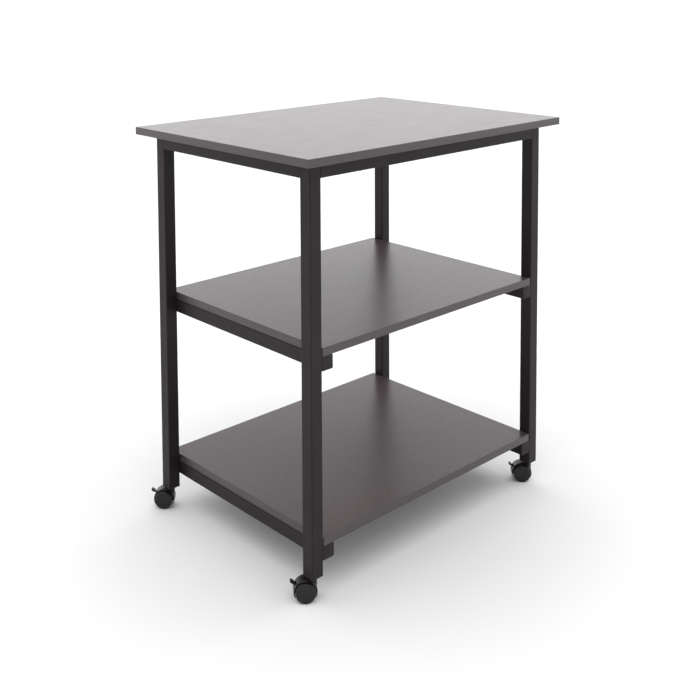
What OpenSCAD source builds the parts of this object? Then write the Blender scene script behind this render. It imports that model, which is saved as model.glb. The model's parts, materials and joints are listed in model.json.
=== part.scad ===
// Mobile printer stand: a square-tube steel frame on four braked twin-wheel castors,
// carrying a top board and two shelves.
// Millimetres, +Z up. The origin is on the floor, under the middle of the top board.
// X runs along the long side, -Y is the front.

/* [Overall] */
// Height from the floor to the top board's upper face
stand_h = 793; // [700:1:900]
// Width of the steel frame over its legs
frame_w = 660; // [500:10:800]
// Depth of the steel frame over its legs
frame_d = 460; // [360:10:600]

/* [Frame tube] */
// Outside size of the square steel tube
tube = 26; // [24:0.5:30]
// Wall thickness of the tube
wall = 1.5; // [1.2:0.1:2]
// Outside corner radius of the tube
tube_r = 2; // [1.8:0.1:3]
// Height of the leg caps' lips, which the top board rests on
cap_lip = 2; // [1.5:0.5:3]
// Height of the foot plugs' lips, below the legs
foot_lip = 2.5; // [2:0.5:4]

/* [Boards] */
// Thickness of the top board and the shelves
board_t = 15; // [15:1:18]
// Overhang of the top board past the frame, on all four sides
overhang = 30; // [10:1:40]
// Thickness of the edge banding
banding_t = 1; // [0.5:0.5:2]
// Gap between a shelf and a leg
side_gap = 1.5; // [1:0.5:4]
// How far the shelves stand out past the rear legs
shelf_rear = 4; // [0:1:10]
// Height from the bottom shelf's upper face to the floor
low_shelf_h = 110; // [100:1:160]

/* [Castors] */
// Wheel diameter
wheel_d = 36; // [34:1:38]
// Width over both wheels
castor_w = 35.5; // [34:0.5:40]
// Width of the hood, measured to where its rounded shoulders would end
hood_w = 25; // [24:1:30]
// Distance from the swivel axis to the axle
trail = 14; // [13:0.5:15]
// Rest heading of the front left castor's trailing side, in degrees from +X
heading_fl = 142; // [0:1:359]
// Rest heading of the front right castor
heading_fr = 134; // [0:1:359]
// Rest heading of the rear left castor
heading_rl = 136; // [0:1:359]
// Rest heading of the rear right castor
heading_rr = 138; // [0:1:359]

/* [Hidden] */
$fn = 64;
eps = 1;

// Heights
wheel_r = wheel_d / 2;
hood_gap = 1.5;
hood_t = 1.8;
hood_r = wheel_r + hood_gap + hood_t;
boss_top = wheel_r + hood_r + 0.6;
collar_h = 2;
swivel_play = 0.1;
leg_z = boss_top + swivel_play + collar_h;
board_z = stand_h - board_t;
leg_top = board_z - cap_lip;
mid_shelf_h = (stand_h + low_shelf_h) / 2;
shelf_tops = [mid_shelf_h, low_shelf_h];

// Plan of the frame
leg_x = (frame_w - tube) / 2;
leg_y = (frame_d - tube) / 2;
bore = tube - 2 * wall;
bore_r = tube_r - wall + 0.3;
leg_inner_x = frame_w / 2 - tube;
rail_x = leg_inner_x - tube / 2;
shelf_w = 2 * (leg_inner_x - side_gap);
shelf_d = frame_d + shelf_rear;
top_w = frame_w + 2 * overhang;
top_d = frame_d + 2 * overhang;
end_lip = 1.5;
plug_play = 0.05;

// Fasteners
screw_r = 1.95;
pilot_r = 2;
screw_hole_r = 2.3;
screw_bite = 12;
screw_head_r = 4;
screw_head_h = 2.4;
top_screw_x = frame_w * 0.3;
top_screw_y = frame_d * 0.28;
shelf_screw_y = frame_d * 0.34;
washer_r = 6;

// Castor
stem_thread_r = 3.95;
thread_hole_r = 4;
stem_up = 15;
stem_down = 17;
pin_r = 4;
pin_play = 0.05;
pin_bore_depth = stem_down + 1;
rib_r = 3.75;
groove_r = 3.65;
rib_from_end = 3;
web_w = 11;
boss_r = 7;
wheel_side_play = 0.4;
wheel_w = castor_w / 2 - web_w / 2 - wheel_side_play;
wheel_edge_r = 2.6;
wheel_face_t = 2.5;
wheel_rim_t = 2.4;
hub_r = 5;
axle_r = 2.5;
axle_play = 0.05;
axle_half = castor_w / 2 - wheel_face_t - 0.3;
axle_groove = 0.3;
axle_rib = 0.2;
hood_end_angle = 28;
hood_shoulder_r = 4;
hood_edge_t = 0.6;

// Brake lever, in the castor's side view with the axle at its origin
lever_w = 7;
lever_pin = [16.4, -1];
lever_pin_r = 1.25;
lever_eye_r = 2.6;
lever_shoe = polar(12.3, 34);
lever_elbow = polar(17.3, 31);
lever_shoe_r = 1.2;
lever_shoe_reach = 11;
lever_slot_w = 7.6;
paddle_angle = 33;
paddle_in = 23.6;
paddle_out = 32;
paddle_w = 11.5;
paddle_t = 3.2;
neck_w = 6;
neck_t = 2.2;

function polar(r, a) = [r * cos(a), r * sin(a)];

// ---- Tube frame ----

// A square with rounded corners, centred on the origin
module rounded_square(side, r) {
    square([side, side - 2 * r], center = true);
    square([side - 2 * r, side], center = true);
    for (sx = [-1, 1], sy = [-1, 1])
        translate([sx * (side / 2 - r), sy * (side / 2 - r)]) circle(r);
}

// A length of tube standing on z = 0
module tube_length(len) {
    linear_extrude(len) difference() {
        rounded_square(tube, tube_r);
        rounded_square(bore, bore_r);
    }
}

// A length of tube along X or Y, centred on the origin
module tube_x(len) {
    rotate([90, 0, 90]) translate([0, 0, -len / 2]) tube_length(len);
}

module tube_y(len) {
    rotate([90, 0, 0]) translate([0, 0, -len / 2]) tube_length(len);
}

// A leg in the quadrant of signs sx, sy
module leg(sx, sy) {
    color("#3a3638") translate([sx * leg_x, sy * leg_y, leg_z + foot_lip])
        tube_length(leg_top - leg_z - foot_lip);
}

// Height of the top rails' centre lines
function top_rail_z() = leg_top - tube / 2;

// A top rail along X between two legs, with its screw holes
module top_rail_x(sy) {
    color("#3a3638") translate([0, sy * leg_y, top_rail_z()]) difference() {
        tube_x(frame_w - 2 * tube);
        for (sx = [-1, 1])
            translate([sx * top_screw_x, 0, 0])
                cylinder(r = screw_hole_r, h = tube + 2 * eps, center = true);
    }
}

// A top rail along Y between two legs, with its screw holes
module top_rail_y(sx) {
    color("#3a3638") translate([sx * leg_x, 0, top_rail_z()]) difference() {
        tube_y(frame_d - 2 * tube);
        for (sy = [-1, 1])
            translate([0, sy * top_screw_y, 0])
                cylinder(r = screw_hole_r, h = tube + 2 * eps, center = true);
    }
}

// A shelf rail along Y, lying against two legs' inner faces, with its screw holes
module shelf_rail(sx, top) {
    color("#353133") translate([sx * rail_x, 0, top - board_t - tube / 2]) difference() {
        tube_y(frame_d - 2 * end_lip);
        for (sy = [-1, 1])
            translate([0, sy * shelf_screw_y, 0])
                cylinder(r = screw_hole_r, h = tube + 2 * eps, center = true);
    }
}

// A plug for the end of a tube: a lip from z = 0 up to lip, and a hollow body below it
module tube_plug(lip, depth) {
    plug_side = bore - 2 * plug_play;
    linear_extrude(lip) rounded_square(tube, tube_r);
    translate([0, 0, -depth]) linear_extrude(depth + lip / 2) difference() {
        rounded_square(plug_side, bore_r);
        rounded_square(plug_side - 4, bore_r);
    }
}

module leg_caps() {
    color("#262425")
    for (sx = [-1, 1], sy = [-1, 1])
        translate([sx * leg_x, sy * leg_y, leg_top]) tube_plug(cap_lip, 12);
}

// End caps of the four shelf rails
module rail_end_caps() {
    color("#262425")
    for (top = shelf_tops, sx = [-1, 1], sy = [-1, 1])
        translate([sx * rail_x, sy * (frame_d / 2 - end_lip), top - board_t - tube / 2])
            rotate([-90 * sy, 0, 0]) tube_plug(end_lip, 12);
}

// Solid plugs in the legs' lower ends, with a threaded hole for the castor stem
module leg_foot_plugs() {
    plug_h = 20;
    color("#262425")
    for (sx = [-1, 1], sy = [-1, 1])
        translate([sx * leg_x, sy * leg_y, leg_z]) difference() {
            union() {
                linear_extrude(foot_lip) rounded_square(tube, tube_r);
                linear_extrude(foot_lip + plug_h) rounded_square(bore - 2 * plug_play, bore_r);
            }
            translate([0, 0, -eps]) cylinder(r = thread_hole_r, h = foot_lip + plug_h + 2 * eps);
        }
}

// ---- Fasteners ----

// A pan-head wood screw pointing up, with the underside of its head at z = 0
module wood_screw(len) {
    cylinder(r = screw_r, h = len);
    difference() {
        translate([0, 0, -screw_head_h]) cylinder(r = screw_head_r, h = screw_head_h);
        for (turn = [0, 90])
            rotate([0, 0, turn]) translate([0, 0, -screw_head_h])
                cube([4.4, 1, 2.4], center = true);
    }
}

// Places its children at the top board's screw axes, at height z = 0
module at_top_screws() {
    for (sx = [-1, 1], sy = [-1, 1]) {
        translate([sx * top_screw_x, sy * leg_y, 0]) children();
        translate([sx * leg_x, sy * top_screw_y, 0]) children();
    }
}

// Places its children at a shelf's screw axes, at height z = 0
module at_shelf_screws() {
    for (sx = [-1, 1], sy = [-1, 1])
        translate([sx * rail_x, sy * shelf_screw_y, 0]) children();
}

module top_board_screws() {
    color("#2b2b2d") at_top_screws()
        translate([0, 0, leg_top - tube]) wood_screw(tube + cap_lip + screw_bite);
}

// Washers that fill the gap between the top rails and the board at each screw
module top_board_spacers() {
    color("#1d1c1d") at_top_screws()
        translate([0, 0, leg_top]) difference() {
            cylinder(r = washer_r, h = cap_lip);
            translate([0, 0, -eps]) cylinder(r = screw_hole_r, h = cap_lip + 2 * eps);
        }
}

module shelf_screws(top) {
    color("#2b2b2d") at_shelf_screws()
        translate([0, 0, top - board_t - tube]) wood_screw(tube + screw_bite);
}

// ---- Boards ----

// The board inside its banding, lying on z = 0 and centred in X and Y
module board_core(w, d) {
    color("#5f5a5b") translate([-w / 2 + banding_t, -d / 2 + banding_t, 0])
        cube([w - 2 * banding_t, d - 2 * banding_t, board_t]);
}

// Four strips of edge banding. The front and rear strips cover the side strips' ends.
module banding(w, d) {
    color("#5e5859") for (s = [-1, 1]) {
        translate([-w / 2, s * (d - banding_t) / 2 - banding_t / 2, 0])
            cube([w, banding_t, board_t]);
        translate([s * (w - banding_t) / 2 - banding_t / 2, -d / 2 + banding_t, 0])
            cube([banding_t, d - 2 * banding_t, board_t]);
    }
}

module pilot_hole() {
    translate([0, 0, -eps]) cylinder(r = pilot_r, h = eps + screw_bite + 1);
}

module top_board() {
    difference() {
        translate([0, 0, board_z]) board_core(top_w, top_d);
        translate([0, 0, board_z]) at_top_screws() pilot_hole();
    }
}

module top_board_banding() {
    translate([0, 0, board_z]) banding(top_w, top_d);
}

module shelf(top) {
    difference() {
        translate([0, shelf_rear / 2, top - board_t]) board_core(shelf_w, shelf_d);
        translate([0, 0, top - board_t]) at_shelf_screws() pilot_hole();
    }
}

module shelf_banding(top) {
    translate([0, shelf_rear / 2, top - board_t]) banding(shelf_w, shelf_d);
}

// ---- Castor ----
// Each castor is drawn with its swivel axis on the Z axis, the floor at z = 0, its wheels
// trailing along +X and its axle along Y.

// Puts a castor part under its leg, turned to its rest heading
module under_leg(sx, sy, heading) {
    translate([sx * leg_x, sy * leg_y, 0]) rotate([0, 0, heading]) children();
}

// Draws its children about the axle: X trails, Y is up, Z runs along the axle
module about_axle() {
    translate([trail, 0, wheel_r]) rotate([90, 0, 0]) children();
}

// Threaded stem with a collar under the foot plug and a smooth pin below
module castor_stem() {
    pin_top = boss_top + swivel_play;
    pin_end = pin_top - stem_down;
    groove_z = pin_end + rib_from_end;
    color("#8a8a8c") difference() {
        union() {
            translate([0, 0, leg_z]) cylinder(r = stem_thread_r, h = stem_up);
            translate([0, 0, pin_top]) cylinder(r = boss_r, h = collar_h);
            translate([0, 0, pin_end]) cylinder(r = pin_r, h = stem_down);
        }
        translate([0, 0, groove_z]) difference() {
            cylinder(r = pin_r + eps, h = 1.2);
            cylinder(r = groove_r, h = 1.2);
        }
    }
}

// Bore for the stem's pin, with a snap rib that runs in the pin's groove
module pin_bore() {
    rib_z = boss_top + swivel_play - stem_down + rib_from_end + 0.1;
    bore_end = boss_top - pin_bore_depth;
    full_r = pin_r + pin_play;
    translate([0, 0, bore_end]) cylinder(r = full_r, h = rib_z - bore_end);
    translate([0, 0, rib_z - eps]) cylinder(r = rib_r, h = 1 + 2 * eps);
    translate([0, 0, rib_z + 1]) cylinder(r = full_r, h = boss_top - rib_z);
}

// Cross-section of the arched cover: round shoulders, and edges hood_edge_t thick at the sides
module hood_section() {
    inner_r = wheel_r + hood_gap;
    shoulder_x = hood_r - hood_shoulder_r;
    shoulder_y = hood_w / 2 - hood_shoulder_r;
    edge_rise = inner_r + hood_edge_t - shoulder_x;
    side_y = shoulder_y + sqrt(pow(hood_shoulder_r, 2) - pow(edge_rise, 2));
    intersection() {
        union() {
            translate([0, -shoulder_y]) square([hood_r, 2 * shoulder_y]);
            for (s = [-1, 1]) translate([shoulder_x, s * shoulder_y]) circle(hood_shoulder_r);
        }
        translate([inner_r, -side_y]) square([hood_t + eps, 2 * side_y]);
    }
}

// The arched cover over both wheels
module hood_shell() {
    drop = hood_r * sin(hood_end_angle);
    about_axle() difference() {
        rotate_extrude($fn = 128) hood_section();
        translate([-hood_r - eps, -hood_r - drop, -castor_w / 2 - eps])
            cube([2 * (hood_r + eps), hood_r, castor_w + 2 * eps]);
    }
}

// The plate between the wheels: it holds the axle, and forks around the brake lever
module hood_web() {
    inner_r = wheel_r + hood_gap;
    fork_x = 4;
    about_axle() difference() {
        cylinder(r = inner_r + hood_t / 2, h = web_w, center = true, $fn = 128);
        translate([-hood_r, -hood_r - hub_r, -web_w])
            cube([2 * hood_r, hood_r, 2 * web_w]);
        translate([fork_x, -hood_r, -lever_slot_w / 2])
            cube([hood_r, 2 * hood_r, lever_slot_w]);
        translate([6, 2.5, -web_w]) cube([9, 9, 2 * web_w]);
    }
}

// Hood of a castor: shell, web and stem boss in one moulding
module castor_hood() {
    color("#2d2b2d") difference() {
        union() {
            hood_shell();
            hood_web();
            translate([0, 0, wheel_r + 2]) cylinder(r = boss_r, h = boss_top - wheel_r - 2);
        }
        pin_bore();
        wheel_clearance();
        about_axle() {
            cylinder(r = axle_r + 0.02, h = castor_w, center = true);
            translate([lever_pin.x, lever_pin.y, 0])
                cylinder(r = lever_pin_r + 0.02, h = castor_w, center = true);
            // Window in the shell for the brake lever
            rotate([0, 0, paddle_angle]) translate([wheel_r, -4.8, -lever_slot_w / 2])
                cube([hood_r, 8, lever_slot_w]);
        }
    }
}

// Space for the two wheels, beside the web
module wheel_clearance() {
    about_axle() for (s = [-1, 1])
        translate([0, 0, s * (web_w / 2 + castor_w / 2)])
            cylinder(r = wheel_r + hood_gap, h = castor_w, center = true, $fn = 128);
}

// Axle with a snap groove near each end
module castor_axle() {
    color("#8a8a8c") about_axle() difference() {
        cylinder(r = axle_r, h = 2 * axle_half, center = true);
        for (s = [-1, 1])
            translate([0, 0, s * (axle_half - 2)]) difference() {
                cylinder(r = axle_r + eps, h = 1.2, center = true);
                cylinder(r = axle_r - axle_groove, h = 1.2, center = true);
            }
    }
}

// One wheel, on the side s of the web: a smooth outer face, a rim and a hub
module castor_wheel(s) {
    hollow_d = wheel_w - wheel_face_t;
    bore_z = castor_w / 2 - wheel_w;
    groove_z = axle_half - 2;
    color("#302e30") about_axle() mirror([0, 0, s > 0 ? 0 : 1]) difference() {
        translate([0, 0, bore_z]) rotate_extrude($fn = 128) {
            square([wheel_r, wheel_w - wheel_edge_r]);
            square([wheel_r - wheel_edge_r, wheel_w]);
            translate([wheel_r - wheel_edge_r, wheel_w - wheel_edge_r]) circle(wheel_edge_r);
        }
        translate([0, 0, bore_z - eps]) difference() {
            cylinder(r = wheel_r - wheel_rim_t, h = hollow_d + eps);
            cylinder(r = hub_r, h = hollow_d + 2 * eps);
        }
        difference() {
            translate([0, 0, bore_z - eps])
                cylinder(r = axle_r + axle_play, h = axle_half + 0.1 - bore_z + eps);
            translate([0, 0, groove_z]) difference() {
                cylinder(r = axle_r + 1, h = 1, center = true);
                cylinder(r = axle_r - axle_rib, h = 2, center = true);
            }
        }
    }
}

// Pin that the brake lever turns on
module castor_brake_pin() {
    color("#8a8a8c") about_axle() translate([lever_pin.x, lever_pin.y, 0])
        cylinder(r = lever_pin_r, h = web_w, center = true);
}

// A strip of width 2 r between two points, in the castor's side view
module strip(p, q, r) {
    d = q - p;
    translate(p) rotate(atan2(d.y, d.x)) translate([0, -r]) square([norm(d), 2 * r]);
}

// Brake lever: an eye on the pin, a shoe that reaches into both wheels' rims, and a paddle
module castor_brake() {
    neck_from = 16;
    color("#242223") about_axle() difference() {
        union() {
            linear_extrude(lever_w, center = true) {
                translate(lever_pin) circle(lever_eye_r);
                translate(lever_elbow) circle(1.9);
                translate(lever_shoe) circle(1.7);
                strip(lever_pin, lever_elbow, 1.5);
                strip(lever_shoe, lever_elbow, 1.1);
            }
            translate([lever_shoe.x, lever_shoe.y, 0])
                cylinder(r = lever_shoe_r, h = 2 * lever_shoe_reach, center = true);
            rotate([0, 0, paddle_angle]) {
                translate([neck_from, -neck_t / 2, -neck_w / 2])
                    cube([paddle_in + eps - neck_from, neck_t, neck_w]);
                translate([paddle_in, -paddle_t / 2, -paddle_w / 2])
                    cube([paddle_out - paddle_in, paddle_t, paddle_w]);
            }
        }
        translate([lever_pin.x, lever_pin.y, 0])
            cylinder(r = lever_pin_r + 0.05, h = lever_w + 2 * eps, center = true);
    }
}

// ---- Assembly ----

leg(-1, -1);  // leg_front_left
leg(1, -1);  // leg_front_right
leg(-1, 1);  // leg_rear_left
leg(1, 1);  // leg_rear_right
top_rail_x(-1);  // top_rail_front
top_rail_x(1);  // top_rail_rear
top_rail_y(-1);  // top_rail_left
top_rail_y(1);  // top_rail_right
shelf_rail(-1, mid_shelf_h);  // middle_rail_left
shelf_rail(1, mid_shelf_h);  // middle_rail_right
shelf_rail(-1, low_shelf_h);  // bottom_rail_left
shelf_rail(1, low_shelf_h);  // bottom_rail_right
leg_caps();
rail_end_caps();
leg_foot_plugs();
top_board();
top_board_banding();
top_board_spacers();
top_board_screws();
shelf(mid_shelf_h);  // middle_shelf
shelf_banding(mid_shelf_h);  // middle_shelf_banding
shelf_screws(mid_shelf_h);  // middle_shelf_screws
shelf(low_shelf_h);  // bottom_shelf
shelf_banding(low_shelf_h);  // bottom_shelf_banding
shelf_screws(low_shelf_h);  // bottom_shelf_screws

under_leg(-1, -1, heading_fl) castor_stem();  // castor_fl_stem
under_leg(-1, -1, heading_fl) castor_hood();  // castor_fl_hood
under_leg(-1, -1, heading_fl) castor_axle();  // castor_fl_axle
under_leg(-1, -1, heading_fl) castor_wheel(1);  // castor_fl_wheel_a
under_leg(-1, -1, heading_fl) castor_wheel(-1);  // castor_fl_wheel_b
under_leg(-1, -1, heading_fl) castor_brake();  // castor_fl_brake
under_leg(-1, -1, heading_fl) castor_brake_pin();  // castor_fl_brake_pin

under_leg(1, -1, heading_fr) castor_stem();  // castor_fr_stem
under_leg(1, -1, heading_fr) castor_hood();  // castor_fr_hood
under_leg(1, -1, heading_fr) castor_axle();  // castor_fr_axle
under_leg(1, -1, heading_fr) castor_wheel(1);  // castor_fr_wheel_a
under_leg(1, -1, heading_fr) castor_wheel(-1);  // castor_fr_wheel_b
under_leg(1, -1, heading_fr) castor_brake();  // castor_fr_brake
under_leg(1, -1, heading_fr) castor_brake_pin();  // castor_fr_brake_pin

under_leg(-1, 1, heading_rl) castor_stem();  // castor_rl_stem
under_leg(-1, 1, heading_rl) castor_hood();  // castor_rl_hood
under_leg(-1, 1, heading_rl) castor_axle();  // castor_rl_axle
under_leg(-1, 1, heading_rl) castor_wheel(1);  // castor_rl_wheel_a
under_leg(-1, 1, heading_rl) castor_wheel(-1);  // castor_rl_wheel_b
under_leg(-1, 1, heading_rl) castor_brake();  // castor_rl_brake
under_leg(-1, 1, heading_rl) castor_brake_pin();  // castor_rl_brake_pin

under_leg(1, 1, heading_rr) castor_stem();  // castor_rr_stem
under_leg(1, 1, heading_rr) castor_hood();  // castor_rr_hood
under_leg(1, 1, heading_rr) castor_axle();  // castor_rr_axle
under_leg(1, 1, heading_rr) castor_wheel(1);  // castor_rr_wheel_a
under_leg(1, 1, heading_rr) castor_wheel(-1);  // castor_rr_wheel_b
under_leg(1, 1, heading_rr) castor_brake();  // castor_rr_brake
under_leg(1, 1, heading_rr) castor_brake_pin();  // castor_rr_brake_pin
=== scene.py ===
import json
import math

import bmesh
import bpy
from mathutils import Matrix, Vector


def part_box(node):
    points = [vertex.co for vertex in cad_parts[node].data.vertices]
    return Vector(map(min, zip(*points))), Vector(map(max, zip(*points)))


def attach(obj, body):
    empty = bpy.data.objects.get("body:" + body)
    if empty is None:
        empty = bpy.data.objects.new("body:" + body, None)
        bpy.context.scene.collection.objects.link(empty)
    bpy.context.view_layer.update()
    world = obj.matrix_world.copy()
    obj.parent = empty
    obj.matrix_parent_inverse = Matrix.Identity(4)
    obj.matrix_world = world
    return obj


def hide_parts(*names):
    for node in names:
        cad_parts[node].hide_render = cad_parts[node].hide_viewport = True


MM = 0.001

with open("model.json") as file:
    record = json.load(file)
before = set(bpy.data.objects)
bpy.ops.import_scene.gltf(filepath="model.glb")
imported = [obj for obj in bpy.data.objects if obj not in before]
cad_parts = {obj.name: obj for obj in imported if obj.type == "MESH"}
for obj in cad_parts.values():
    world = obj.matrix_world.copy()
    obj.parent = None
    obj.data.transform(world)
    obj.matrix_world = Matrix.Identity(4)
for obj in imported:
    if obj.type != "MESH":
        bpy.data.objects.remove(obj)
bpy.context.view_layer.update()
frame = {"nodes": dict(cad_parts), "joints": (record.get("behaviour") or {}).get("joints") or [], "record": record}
nodes = frame["nodes"]
scene = bpy.context.scene


# ---------------------------------------------------------------- materials

RANGE_INPUTS = ("From Min", "From Max", "To Min", "To Max")


class Shader:
    """A node material, built up by short calls."""

    def __init__(self, name):
        self.material = bpy.data.materials.new(name)
        self.material.use_nodes = True
        self.tree = self.material.node_tree
        self.bsdf = self.tree.nodes["Principled BSDF"]
        self.place = self.add("ShaderNodeTexCoord").outputs["Object"]

    def add(self, kind, **settings):
        node = self.tree.nodes.new(kind)
        for key, value in settings.items():
            setattr(node, key, value)
        return node

    def link(self, source, target):
        self.tree.links.new(source, target)

    def noise(self, scale, detail, stretch=(1, 1, 1)):
        """Noise in object space: scale is in features a metre, detail in octaves."""
        mapping = self.add("ShaderNodeMapping")
        mapping.inputs["Scale"].default_value = stretch
        self.link(self.place, mapping.inputs["Vector"])
        noise = self.add("ShaderNodeTexNoise")
        noise.inputs["Scale"].default_value = scale
        noise.inputs["Detail"].default_value = detail
        self.link(mapping.outputs["Vector"], noise.inputs["Vector"])
        return noise.outputs["Fac"]

    def remap(self, value, low, high, to_low, to_high):
        """Takes low..high to to_low..to_high, and holds the ends beyond it."""
        node = self.add("ShaderNodeMapRange", clamp=True)
        for slot, number in zip(RANGE_INPUTS, (low, high, to_low, to_high)):
            node.inputs[slot].default_value = number
        self.link(value, node.inputs["Value"])
        return node.outputs["Result"]

    def mix(self, factor, first, second):
        """Mixes two colours, each a tuple or a socket."""
        node = self.add("ShaderNodeMix", data_type="RGBA")
        self.link(factor, node.inputs["Factor"])
        for socket, colour in ((node.inputs[6], first), (node.inputs[7], second)):
            if isinstance(colour, tuple):
                socket.default_value = (*colour, 1)
            else:
                self.link(colour, socket)
        return node.outputs[2]

    def edge_wear_and_highlight(self, radius, low=0.02, high=0.3):
        """1 on sharp outer edges and 0 on flat faces, from the bevelled normal's turn: where rubbed wear and a
        painted edge highlight go.
        """
        bevel = self.add("ShaderNodeBevel", samples=4)
        bevel.inputs["Radius"].default_value = radius
        geometry = self.add("ShaderNodeNewGeometry")
        dot = self.add("ShaderNodeVectorMath", operation="DOT_PRODUCT")
        self.link(bevel.outputs["Normal"], dot.inputs[0])
        self.link(geometry.outputs["Normal"], dot.inputs[1])
        return self.remap(dot.outputs["Value"], 1 - high, 1 - low, 1, 0)

    def bump(self, height, strength, distance):
        node = self.add("ShaderNodeBump")
        node.inputs["Strength"].default_value = strength
        node.inputs["Distance"].default_value = distance
        self.link(height, node.inputs["Height"])
        self.link(node.outputs["Normal"], self.bsdf.inputs["Normal"])

    def finish(self, colour=None, roughness=None, **plain):
        """Links the sockets, sets the plain inputs and gives the material."""
        for name, value in (("Base Color", colour), ("Roughness", roughness)):
            if value is not None:
                self.link(value, self.bsdf.inputs[name])
        for name, value in plain.items():
            self.bsdf.inputs[name.replace("_", " ")].default_value = value
        return self.material


def melamine(name, tone, speck, roughness):
    """Printed dark melamine: cloudy print, a fine grain, small specks and a satin surface."""
    s = Shader(name)
    cloud = s.remap(s.noise(9, 4), 0.35, 0.65, 0, 1)
    fleck = s.remap(s.noise(1400, 2), 0.56, 0.68, 0, 0.5)
    grain = s.remap(s.noise(190, 4, (0.6, 1, 1)), 0.35, 0.65, 0, 0.27)
    base = s.mix(grain, s.mix(cloud, tone, tuple(c * 1.08 for c in tone)), speck)
    colour = s.mix(fleck, base, speck)
    streak = s.noise(60, 5, (0.35, 1, 1))
    rough = s.remap(streak, 0.3, 0.7, roughness - 0.013, roughness + 0.015)
    s.bump(s.noise(2600, 2), 0.06, 0.00008)
    return s.finish(colour, rough, IOR=1.5)


def edge_band(name, tone):
    """Plastic edge banding: plain tone with faint drag marks along the strip."""
    s = Shader(name)
    drag = s.remap(s.noise(900, 3, (0.05, 0.05, 1)), 0.35, 0.65, 0, 1)
    colour = s.mix(drag, tone, tuple(c * 1.12 for c in tone))
    rough = s.remap(s.noise(120, 2), 0.3, 0.7, 0.42, 0.5)
    s.bump(s.noise(1500, 2, (0.08, 0.08, 1)), 0.08, 0.0001)
    return s.finish(colour, rough, IOR=1.48)


def powder_coat(name, tone):
    """Satin powder coat on steel: orange peel, slight gloss change, and edges painted lighter as rubbed wear and a
    painted highlight.
    """
    s = Shader(name)
    patch = s.remap(s.noise(14, 3), 0.35, 0.65, 0, 1)
    base = s.mix(patch, tone, tuple(c * 1.18 for c in tone))
    # sharp edges painted lighter: rubbed wear and a painted edge highlight
    wear_and_highlight = s.edge_wear_and_highlight(0.0012)
    colour = s.mix(wear_and_highlight, base, tuple(c * 2.2 + 0.004 for c in tone))
    rough = s.remap(s.noise(40, 3), 0.3, 0.7, 0.40, 0.47)
    s.bump(s.noise(1100, 2), 0.12, 0.00018)
    return s.finish(colour, rough, IOR=1.5, Specular_IOR_Level=0.16)


def moulded_plastic(name, tone, roughness, specular=0.3):
    """Black moulded plastic: fine spark-eroded grain, and edges painted a little lighter as rubbed wear and a
    painted highlight.
    """
    s = Shader(name)
    cloud = s.remap(s.noise(70, 3), 0.35, 0.65, 0, 1)
    base = s.mix(cloud, tone, tuple(c * 1.25 for c in tone))
    # edges a little lighter: rubbed wear and a painted edge highlight
    colour = s.mix(s.edge_wear_and_highlight(0.0005), base, tuple(c * 1.8 + 0.003 for c in tone))
    rough = s.remap(s.noise(220, 2), 0.3, 0.7, roughness - 0.04, roughness + 0.05)
    s.bump(s.noise(1500, 2), 0.10, 0.0001)
    return s.finish(colour, rough, IOR=1.5, Specular_IOR_Level=specular)


def plated_steel(name, tone, roughness, metallic=1.0):
    """Plated or blackened steel: fine turning marks and uneven plating."""
    s = Shader(name)
    patch = s.remap(s.noise(180, 3), 0.35, 0.65, 0, 1)
    colour = s.mix(patch, tone, tuple(c * 0.82 for c in tone))
    rough = s.remap(s.noise(900, 3), 0.3, 0.7, roughness - 0.06, roughness + 0.08)
    s.bump(s.noise(3000, 2), 0.08, 0.00005)
    return s.finish(colour, rough, Metallic=metallic)


# a material for each of the record's slots
MATERIALS = {
    "board": melamine("melamine_dark_grey", (0.0475, 0.0320, 0.0345),
                      (0.13, 0.098, 0.102), 0.34),
    "edge_banding": edge_band("edge_banding_dark_grey", (0.064, 0.0535, 0.0575)),
    "frame_steel": powder_coat("powder_coat_black", (0.0190, 0.0145, 0.0163)),
    "cap_plastic": moulded_plastic("plastic_end_cap", (0.0225, 0.0180, 0.0198), 0.5, 0.15),
    "spacer_nylon": moulded_plastic("nylon_spacer", (0.012, 0.012, 0.012), 0.5),
    "black_fastener": plated_steel("black_oxide_steel", (0.022, 0.021, 0.023), 0.5, 0.6),
    "bare_steel": plated_steel("zinc_plated_steel", (0.50, 0.50, 0.51), 0.3),
    "castor_housing": moulded_plastic("nylon_castor_hood", (0.0120, 0.0092, 0.0105), 0.33),
    "castor_wheel": moulded_plastic("nylon_castor_wheel", (0.0135, 0.0112, 0.0128), 0.40),
    "brake_lever": moulded_plastic("nylon_brake_lever", (0.0080, 0.0075, 0.0078), 0.38),
}


for entry in frame["record"]["subparts"]:
    node = nodes[entry["node"]]
    node.data.materials.clear()
    node.data.materials.append(MATERIALS[entry["material_slot"]])


# ---------------------------------------------------------------- mesh helpers

# degrees between two faces, from which their edge is rounded, or is shaded as sharp
BEVEL_FROM = 35
SHARP_FROM = 32


def arc(centre, radius, start, end, steps):
    """Points on an arc, in the plane, with angles in degrees."""
    turns = [math.radians(start + (end - start) * i / steps) for i in range(steps + 1)]
    return [(centre[0] + radius * math.cos(t), centre[1] + radius * math.sin(t)) for t in turns]


def circle(centre, radius, segments):
    """A closed outline, as points in the plane."""
    return arc(centre, radius, 0, 360 - 360 / segments, segments - 1)


def rounded_rectangle(width, height, radius, steps):
    """A closed outline centred on the origin."""
    points = []
    for sx, sy, start in ((-1, -1, 180), (1, -1, 270), (1, 1, 0), (-1, 1, 90)):
        centre = (sx * (width / 2 - radius), sy * (height / 2 - radius))
        points += arc(centre, radius, start, start + 90, steps)
    return points


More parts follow.
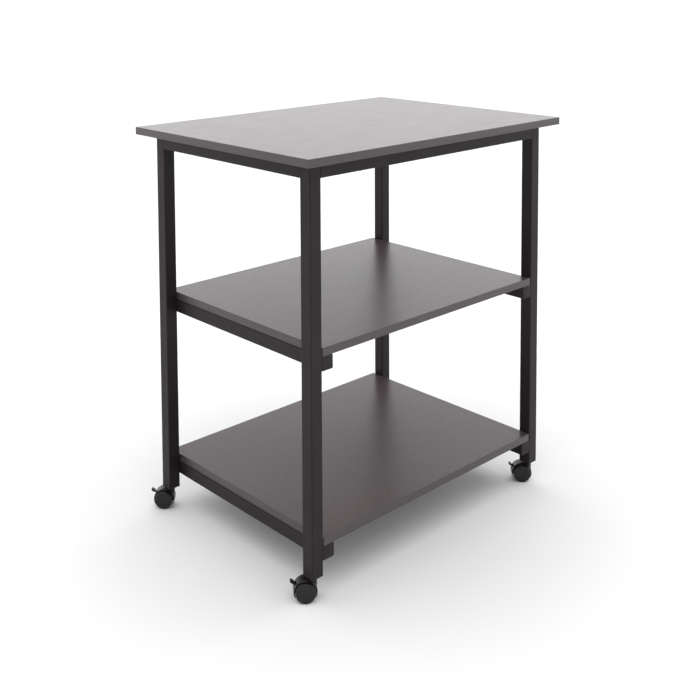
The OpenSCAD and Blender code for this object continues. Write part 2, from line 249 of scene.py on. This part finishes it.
def loft(rings, closed=False):
    """A mesh through rings of equal length: a closed loop of them, or a solid with two ends."""
    bm = bmesh.new()
    rows = [[bm.verts.new(point) for point in ring] for ring in rings]
    pairs = list(zip(rows, rows[1:])) + ([(rows[-1], rows[0])] if closed else [])
    for low, high in pairs:
        for i in range(len(low)):
            j = (i + 1) % len(low)
            bm.faces.new((low[i], low[j], high[j], high[i]))
    if not closed:
        bm.faces.new(rows[0])
        bm.faces.new(rows[-1])
    bmesh.ops.recalc_face_normals(bm, faces=bm.faces)
    return bm


def revolve(profile, segments=96):
    """Turns (radius, y) points about the Y axis. A profile's ends lie on the axis."""
    bm = bmesh.new()
    turns = [2 * math.pi * i / segments for i in range(segments)]
    rows = []
    for radius, y in profile:
        if radius == 0:
            rows.append([bm.verts.new((0, y, 0))])
            continue
        ring = [(radius * math.cos(t), y, radius * math.sin(t)) for t in turns]
        rows.append([bm.verts.new(point) for point in ring])
    for low, high in zip(rows, rows[1:]):
        for i in range(segments):
            j = (i + 1) % segments
            corners = [low[i % len(low)], low[j % len(low)],
                       high[j % len(high)], high[i % len(high)]]
            bm.faces.new(list(dict.fromkeys(corners)))  # a triangle beside the axis
    bmesh.ops.recalc_face_normals(bm, faces=bm.faces)
    return bm


def extrude(outline, depth):
    """A closed (x, z) outline made solid over -depth/2 to depth/2 along Y."""
    return loft([[(x, y, z) for x, z in outline] for y in (-depth / 2, depth / 2)])


def box(low, high):
    """A box between two corners."""
    corners = [(low[0], low[2]), (high[0], low[2]), (high[0], high[2]), (low[0], high[2])]
    bm = extrude(corners, high[1] - low[1])
    bmesh.ops.translate(bm, verts=bm.verts, vec=(0, (low[1] + high[1]) / 2, 0))
    return bm


def rod(radius, low, top, segments=48):
    """A cylinder along Z, from the point low up to the height top."""
    outline = circle((0, 0), radius, segments)
    return loft([[(low[0] + x, low[1] + y, z) for x, y in outline] for z in (low[2], top)])


def cross_rod(radius, x, z, length, segments=48):
    """A cylinder along Y, centred on Y = 0."""
    return extrude(circle((x, z), radius, segments), length)


def smooth(obj):
    """Smooth shading that keeps the sharper edges."""
    for polygon in obj.data.polygons:
        polygon.use_smooth = True
    obj.data.set_sharp_from_angle(angle=math.radians(SHARP_FROM))


def to_mesh(bm, name):
    """The solid as a mesh. The solid itself is freed."""
    mesh = bpy.data.meshes.new(name)
    bm.to_mesh(mesh)
    bm.free()
    return mesh


def place_object(name, data):
    """A new object in the scene, for a mesh or a camera."""
    obj = bpy.data.objects.new(name, data)
    scene.collection.objects.link(obj)
    return obj


def apply_modifiers(obj):
    """The object's mesh with its modifiers applied. The object itself is deleted."""
    graph = bpy.context.evaluated_depsgraph_get()
    mesh = bpy.data.meshes.new_from_object(obj.evaluated_get(graph))
    bpy.data.objects.remove(obj)
    return mesh


def combine(base, adds=(), cuts=(), bevel=0.0):
    """The base with solids added and then others cut away, and its sharp edges rounded."""
    obj = place_object("scratch", to_mesh(base, "scratch"))
    for operation, tools in (("UNION", adds), ("DIFFERENCE", cuts)):
        for tool in tools:
            other = place_object("scratch", to_mesh(tool, "scratch"))
            modifier = obj.modifiers.new("cut", "BOOLEAN")
            modifier.operation, modifier.solver, modifier.object = operation, "EXACT", other
            mesh = apply_modifiers(obj)
            bpy.data.objects.remove(other)
            obj = place_object("scratch", mesh)
    if bevel:
        modifier = obj.modifiers.new("round", "BEVEL")
        modifier.width, modifier.segments = bevel, 2
        modifier.limit_method, modifier.angle_limit = "ANGLE", math.radians(BEVEL_FROM)
        modifier.use_clamp_overlap = True
    return apply_modifiers(obj)


def piece(name, mesh, slot, body, stands_for=(), matrix=Matrix.Identity(4)):
    """Puts a finished mesh on a body, with its material, and hides the CAD nodes it stands for."""
    obj = place_object(name, mesh)
    if not mesh.materials:  # the castors share their meshes
        mesh.materials.append(MATERIALS[slot])
    smooth(obj)
    obj.matrix_world = matrix
    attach(obj, body)
    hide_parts(*stands_for)


# ---------------------------------------------------------------- castors
# A castor's own axes: the origin at the axle's middle, X towards the trailing side,
# Y along the axle, Z up.

WHEEL_R = 18.0 * MM
CASTOR_W = 35.5 * MM  # over both wheels
TRAIL = 14.0 * MM  # from the axle to the stem

# the arch: its outer and inner radius, width, round shoulder and the thickness at its sides
HOOD_OUT = 21.3 * MM
HOOD_IN = 19.5 * MM
HOOD_W = 25.0 * MM
HOOD_SHOULDER = 4.0 * MM
HOOD_EDGE = 0.6 * MM
HOOD_DROP = 28  # degrees that the arch's ends reach below the axle's level
HOOD_END = 0.5 * MM  # rounding of the arch's ends

WEB_W = 11.0 * MM
WEB_FLOOR = -5.0 * MM
BOSS_R = 7.0 * MM
BOSS_FOOT = 2.0 * MM
BOSS_TOP = 21.9 * MM
STEM_HOLE_R = 4.05 * MM
AXLE_HOLE_R = 2.52 * MM

LEVER_W = 7.0 * MM
LEVER_ANGLE = 33  # degrees that the paddle points up at rest
LEVER_PIN = (16.4 * MM, -1.0 * MM)
LEVER_PIN_HOLE_R = 1.27 * MM


def polar(radius, degrees):
    """The (x, z) point at a distance from the axle and an angle in degrees."""
    return radius * math.cos(math.radians(degrees)), radius * math.sin(math.radians(degrees))


def hood_section():
    """The arch's cross-section as (distance from the axle, y) points, with round shoulders."""
    centre_r, centre_y = HOOD_OUT - HOOD_SHOULDER, HOOD_W / 2 - HOOD_SHOULDER
    turn = math.degrees(math.acos((HOOD_IN + HOOD_EDGE - centre_r) / HOOD_SHOULDER))
    half = arc((centre_r, centre_y), HOOD_SHOULDER, 0, turn, 7)
    side = half[-1][1]
    half += [(HOOD_IN + 0.1 * MM, side), (HOOD_IN, side - 0.15 * MM)]
    return [(r, -y) for r, y in reversed(half)] + half


def hood_shell():
    """The arch over both wheels, swept about the axle, with softened ends."""
    section = hood_section()
    mid = (HOOD_OUT + HOOD_IN) / 2
    start, span = -math.radians(HOOD_DROP), math.radians(180 + 2 * HOOD_DROP)
    end, steps = HOOD_END / mid, 72
    places = []  # (angle along the arch, how far the section shrinks there)
    for i in range(5):
        turn = math.pi / 2 * i / 5
        places.append((HOOD_END * (1 - math.cos(turn)) / mid, HOOD_END * (1 - math.sin(turn))))
    far_end = [(span - along, shrink) for along, shrink in reversed(places)]
    places += [(end + (span - 2 * end) * i / steps, 0) for i in range(steps + 1)] + far_end
    rings = []
    for along, shrink in places:
        turn = start + along
        narrow = 1 - shrink / (HOOD_W / 2)
        thin = 1 - 1.4 * shrink / (HOOD_OUT - HOOD_IN)
        points = [(mid + (r - mid) * thin, y * narrow) for r, y in section]
        rings.append([(r * math.cos(turn), y, r * math.sin(turn)) for r, y in points])
    return loft(rings)


def hood_mesh():
    """The arch, the web between the wheels and the stem's boss, with their holes, as one solid."""
    web_r = (HOOD_OUT + HOOD_IN) / 2
    sweep = math.degrees(math.asin(-WEB_FLOOR / web_r))
    web = extrude(arc((0, 0), web_r, -sweep, 180 + sweep, 72), WEB_W)
    boss = rod(BOSS_R, (-TRAIL, 0, BOSS_FOOT), BOSS_TOP, 64)
    wells = []
    for side in (-1, 1):
        well = cross_rod(HOOD_IN, 0, 0, CASTOR_W, 144)
        bmesh.ops.translate(well, verts=well.verts, vec=(0, side * (WEB_W + CASTOR_W) / 2, 0))
        wells.append(well)

    # room in the web for the lever's eye and for its shoe bar
    gap = 3.8 * MM
    fork = box((4 * MM, -gap, -30 * MM), (19.4 * MM, gap, 30 * MM))
    window = box((6 * MM, -20 * MM, 2.5 * MM), (15 * MM, 20 * MM, 11.5 * MM))
    middle = bmesh.new()
    middle.from_mesh(combine(web, [boss], wells + [fork, window]))

    # the slot in the arch for the lever's paddle, from the lever at rest to its lowest place
    slot = box((18 * MM, -gap, -4.8 * MM), (30 * MM, gap, 3.2 * MM))
    lift = Matrix.Rotation(-math.radians(LEVER_ANGLE), 3, "Y")
    bmesh.ops.rotate(slot, verts=slot.verts, matrix=lift)
    holes = [rod(STEM_HOLE_R, (-TRAIL, 0, 4 * MM), 30 * MM),
             cross_rod(AXLE_HOLE_R, 0, 0, 2 * CASTOR_W),
             cross_rod(LEVER_PIN_HOLE_R, *LEVER_PIN, 2 * CASTOR_W, 24)]
    return combine(hood_shell(), [middle], [slot] + holes, bevel=0.3 * MM)


def wheel_mesh():
    """One wheel, on the +Y side of the web: a dished face with a rolled edge, a rim and a hub."""
    inner, face = WEB_W / 2 + 0.4 * MM, CASTOR_W / 2
    edge, rim = 2.6 * MM, WHEEL_R - 2.4 * MM
    dish, floor = face - 0.35 * MM, face - 2.5 * MM
    hub, bore = 5.0 * MM, 2.55 * MM
    small = 0.3 * MM

    profile = [(0, dish)] + [(r * MM, dish) for r in (5, 10, 12.8)]
    profile += [(13.3 * MM, face - 0.25 * MM), (13.8 * MM, face - 0.06 * MM), (14.3 * MM, face)]
    profile += arc((WHEEL_R - edge, face - edge), edge, 90, 0, 8)
    profile += [(WHEEL_R, inner + 1.0 * MM)]
    profile += arc((WHEEL_R - 0.6 * MM, inner + 0.6 * MM), 0.6 * MM, 0, -90, 4)
    profile += [(rim + small, inner), (rim, inner + small), (rim, floor - 0.8 * MM)]
    profile += [(rim - 0.8 * MM, floor), (hub + 0.6 * MM, floor), (hub, floor - 0.6 * MM)]
    profile += [(hub, inner + small), (hub - small, inner), (bore + 0.2 * MM, inner)]
    profile += [(bore, inner + 0.2 * MM), (bore, floor + small), (0, floor + small)]
    return to_mesh(revolve(profile), "wheel")


def strip(p, q, half, width):
    """A flat bar between two (x, z) points, half as thick on each side."""
    length = math.dist(p, q)
    nx, nz = -(q[1] - p[1]) / length * half, (q[0] - p[0]) / length * half
    return extrude([(p[0] - nx, p[1] - nz), (q[0] - nx, q[1] - nz),
                    (q[0] + nx, q[1] + nz), (p[0] + nx, p[1] + nz)], width)


def paddle_solids():
    """The lever's rounded paddle and its ribs, pointing along +X from the axle."""
    # mm: distance from the axle, width and thickness
    sections = ((16.0, 5.6, 2.0), (19.0, 5.8, 2.1), (22.6, 6.0, 2.2), (23.7, 6.8, 2.4),
                (24.6, 9.2, 2.9), (25.4, 10.9, 3.1), (26.4, 11.5, 3.2), (29.4, 11.5, 3.2),
                (30.6, 11.1, 3.0), (31.5, 10.0, 2.3), (32.0, 8.2, 1.3))
    rings = []
    for along, wide, thick in sections:
        outline = rounded_rectangle(wide * MM, thick * MM, thick * 0.42 * MM, 4)
        rings.append([(along * MM, y, z) for y, z in outline])
    solids = [loft(rings)]
    for along in (26.6, 28.1, 29.6):
        solids.append(cross_rod(0.35 * MM, along * MM, 1.5 * MM, 8.6 * MM, 24))
    return solids


def lever_mesh():
    """Brake lever: an eye, a shoe bar that reaches both rims, and a ribbed, rounded paddle."""
    elbow, shoe = polar(17.3 * MM, 31), polar(12.3 * MM, 34)
    paddle = paddle_solids()
    lift = Matrix.Rotation(-math.radians(LEVER_ANGLE), 3, "Y")
    for solid in paddle:
        bmesh.ops.rotate(solid, verts=solid.verts, matrix=lift)
    eye = cross_rod(2.6 * MM, *LEVER_PIN, LEVER_W)
    # the widths differ by a hair, so that no two faces lie in one plane
    arms = [strip(LEVER_PIN, elbow, 1.5 * MM, LEVER_W), strip(shoe, elbow, 1.1 * MM, LEVER_W),
            cross_rod(1.9 * MM, *elbow, LEVER_W * 0.999),
            cross_rod(1.7 * MM, *shoe, LEVER_W * 1.001),
            cross_rod(1.2 * MM, *shoe, 22 * MM, 32)]
    hole = cross_rod(1.3 * MM, *LEVER_PIN, 30 * MM, 32)
    return combine(eye, arms + paddle, [hole], bevel=0.2 * MM)


def build_castors():
    joints = {joint["name"]: joint for joint in frame["joints"]}
    hood, wheel, lever = hood_mesh(), wheel_mesh(), lever_mesh()
    for corner in ("front_left", "front_right", "rear_left", "rear_right"):
        castor = "castor_" + "".join(word[0] for word in corner.split("_"))
        swivel = Vector(joints[f"castor_{corner}_swivel"]["pos_m"])
        axle = Vector(joints[f"castor_{corner}_wheel_a_spin"]["pos_m"])
        heading = math.atan2(axle.y - swivel.y, axle.x - swivel.x)
        place = Matrix.Translation(axle) @ Matrix.Rotation(heading, 4, "Z")
        piece(f"{castor}_hood_moulding", hood, "castor_housing",
              f"{castor}_yoke", [f"{castor}_hood"], place)
        piece(f"{castor}_brake_paddle", lever, "brake_lever",
              f"{castor}_brake", [f"{castor}_brake"], place)
        for side, flip in (("a", math.pi), ("b", 0)):
            turned = place @ Matrix.Rotation(flip, 4, "Z")
            piece(f"{castor}_wheel_{side}_moulding", wheel, "castor_wheel",
                  f"{castor}_wheel_{side}", [f"{castor}_wheel_{side}"], turned)


# ---------------------------------------------------------------- boards and caps

RAIL_WALLS = 3.1 * MM  # both walls of a rail and the cap's play
CAP_DEPTH = 12.0 * MM


def banding_mesh(low, high, thick):
    """The banding round a board: softened arrises, and corners with a small radius."""
    width, depth, height = high - low
    corner, arris = 1.2 * MM, 0.5 * MM
    section = [(thick, 0)] + arc((arris, arris), arris, 270, 180, 4)
    section += arc((arris, height - arris), arris, 180, 90, 4) + [(thick, height)]
    rings = []
    for inset, z in section:
        radius = max(corner - inset, 0.15 * MM)
        outline = rounded_rectangle(width - 2 * inset, depth - 2 * inset, radius, 6)
        rings.append([(x, y, low.z + z) for x, y in outline])
    bm = loft(rings, closed=True)
    centre = ((low.x + high.x) / 2, (low.y + high.y) / 2, 0)
    bmesh.ops.translate(bm, verts=bm.verts, vec=centre)
    return to_mesh(bm, "banding")


def build_banding():
    for board in ("top_board", "middle_shelf", "bottom_shelf"):
        low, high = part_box(f"{board}_banding")
        core_low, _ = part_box(board)
        mesh = banding_mesh(low, high, core_low.x - low.x)
        piece(f"{board}_edge_strip", mesh, "edge_banding", "root", [f"{board}_banding"])


def tube_cap(side, lip, body_side):
    """A moulded tube cap, lip up: a flat face with a rolled edge, and a body with a tapered end."""
    corner, roll = 2.0 * MM, 0.6 * MM
    # each ring's width, height and corner radius
    sizes = [(body_side - 1.2 * MM, -CAP_DEPTH, 0.4 * MM),
             (body_side, 1.5 * MM - CAP_DEPTH, 0.8 * MM),
             (body_side, 0, 0.8 * MM), (side, 0, corner), (side, lip - roll, corner)]
    for i in range(1, 5):
        turn = math.pi / 2 * i / 4
        inset = roll * (1 - math.cos(turn))
        sizes.append((side - 2 * inset, lip - roll * (1 - math.sin(turn)), corner - inset))
    return loft([[(x, y, z) for x, y in rounded_rectangle(width, width, radius, 6)]
                 for width, z, radius in sizes])


def build_rail_end_caps():
    """The eight caps in the shelf rails' ends, as one piece like their CAD node."""
    _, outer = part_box("rail_end_caps")
    caps = bmesh.new()
    for rail in ("middle_rail_left", "middle_rail_right", "bottom_rail_left", "bottom_rail_right"):
        low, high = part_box(rail)
        side = high.x - low.x
        for end in (-1, 1):
            cap = tube_cap(side, outer.y - high.y, side - RAIL_WALLS)
            centre = ((low.x + high.x) / 2, end * high.y, (low.z + high.z) / 2)
            turn = Matrix.Rotation(-end * math.pi / 2, 4, "X")
            cap.transform(Matrix.Translation(centre) @ turn)
            caps.from_mesh(to_mesh(cap, "cap"))
    mesh = to_mesh(caps, "rail_end_caps")
    piece("rail_end_caps_moulding", mesh, "cap_plastic", "root", ["rail_end_caps"])


build_castors()
build_banding()
build_rail_end_caps()


# ---------------------------------------------------------------- studio

# how bright the surroundings are, where 1 shows as white
BACKDROP = 2.22  # low down, behind the stand
CAMERA_SIDE = 0.29  # low down, on the camera's side
UPPER_WALL = 0.62  # higher up, all round
OVERHEAD = 1.75
SKY = 1.1  # what the camera itself sees, on every side

CAMERA_PLACE = Vector((-1.4849, -1.4951, 1.0960))
CAMERA_TURN = (-41.86, 4.22, -0.44)  # azimuth, elevation and roll, in degrees
CAMERA_LENS = 53.05
CAMERA_SHIFT = {"shift_x": 0.0692, "shift_y": -0.4264}
FLOOR_R = 60


def make_camera():
    """A camera at standing height, level apart from a slight tilt, with its lens shifted down.

    The shift keeps the stand's uprights parallel. It belongs to the main view only, so it is
    driven: away from the camera's own place it is zero.
    """
    azimuth, elevation, roll = map(math.radians, CAMERA_TURN)
    data = bpy.data.cameras.new("camera")
    data.lens = CAMERA_LENS
    data.sensor_width = 36
    data.clip_start, data.clip_end = 0.05, 200
    camera = place_object("camera", data)
    turn = Matrix.Rotation(azimuth, 4, "Z")
    tilt = Matrix.Rotation(math.pi / 2 - elevation, 4, "X")
    roll = Matrix.Rotation(roll, 4, "Z")
    camera.matrix_world = Matrix.Translation(CAMERA_PLACE) @ turn @ tilt @ roll
    for name, value in CAMERA_SHIFT.items():
        driver = data.driver_add(name).driver
        driver.type = "SCRIPTED"
        for axis, letter in enumerate("xyz"):
            variable = driver.variables.new()
            variable.name = letter
            variable.targets[0].id = camera
            variable.targets[0].data_path = f"location[{axis}]"
        away = " + ".join(f"abs({v} - ({p:.4f}))" for v, p in zip("xyz", CAMERA_PLACE))
        driver.expression = f"{value} if {away} < 0.01 else 0.0"
    scene.camera = camera


def make_floor():
    bm = bmesh.new()
    bmesh.ops.create_circle(bm, cap_ends=True, segments=96, radius=FLOOR_R)
    mesh = to_mesh(bm, "floor")
    s = Shader("studio_floor")
    patch = s.remap(s.noise(0.8, 2), 0.3, 0.7, 0, 1)
    tone = s.mix(patch, (0.90, 0.90, 0.90), (0.92, 0.92, 0.92))
    mesh.materials.append(s.finish(tone, Roughness=0.9, Specular_IOR_Level=0.0))
    place_object("floor", mesh)


def make_light():
    """Soft light from all round, by the direction it comes from.

    The backdrop behind the stand is very bright, the camera's side is dim, and overhead it is
    bright again. The camera itself sees plain white on every side.
    """
    world = bpy.data.worlds.new("studio")
    world.use_nodes = True
    tree = world.node_tree
    direction = tree.nodes.new("ShaderNodeTexCoord").outputs["Generated"]

    def blend(axis, start, end, low, high):
        """low where the direction's part along the axis is at start or less, up to high at end."""
        dot = tree.nodes.new("ShaderNodeVectorMath")
        dot.operation = "DOT_PRODUCT"
        dot.inputs[1].default_value = axis
        tree.links.new(direction, dot.inputs[0])
        ramp = tree.nodes.new("ShaderNodeMapRange")
        ramp.interpolation_type = "SMOOTHSTEP"
        for slot, number in zip(RANGE_INPUTS, (start, end, low, high)):
            ramp.inputs[slot].default_value = number
        tree.links.new(dot.outputs["Value"], ramp.inputs["Value"])
        return ramp.outputs["Result"]

    def mix(factor, first, second):
        """first where the factor is 0, and second, a socket or a number, where it is 1."""
        node = tree.nodes.new("ShaderNodeMix")
        tree.links.new(factor, node.inputs["Factor"])
        tree.links.new(first, node.inputs["A"])
        if isinstance(second, float):
            node.inputs["B"].default_value = second
        else:
            tree.links.new(second, node.inputs["B"])
        return node.outputs["Result"]

    up, towards_camera = (0, 0, 1), (-0.70, -0.71, 0)
    behind = blend(up, 0.26, 0.46, BACKDROP, UPPER_WALL)
    before = blend(up, 0.16, 0.46, CAMERA_SIDE, UPPER_WALL)
    walls = mix(blend(towards_camera, -0.3, 0.6, 0, 1), behind, before)
    strength = mix(blend(up, 0.55, 0.85, 0, 1), walls, OVERHEAD)
    seen = tree.nodes.new("ShaderNodeLightPath").outputs["Is Camera Ray"]
    background = tree.nodes["Background"]
    background.inputs["Color"].default_value = (1, 1, 1, 1)
    tree.links.new(mix(seen, strength, SKY), background.inputs["Strength"])
    scene.world = world
    scene.view_settings.view_transform = "Standard"


make_camera()
make_floor()
make_light()
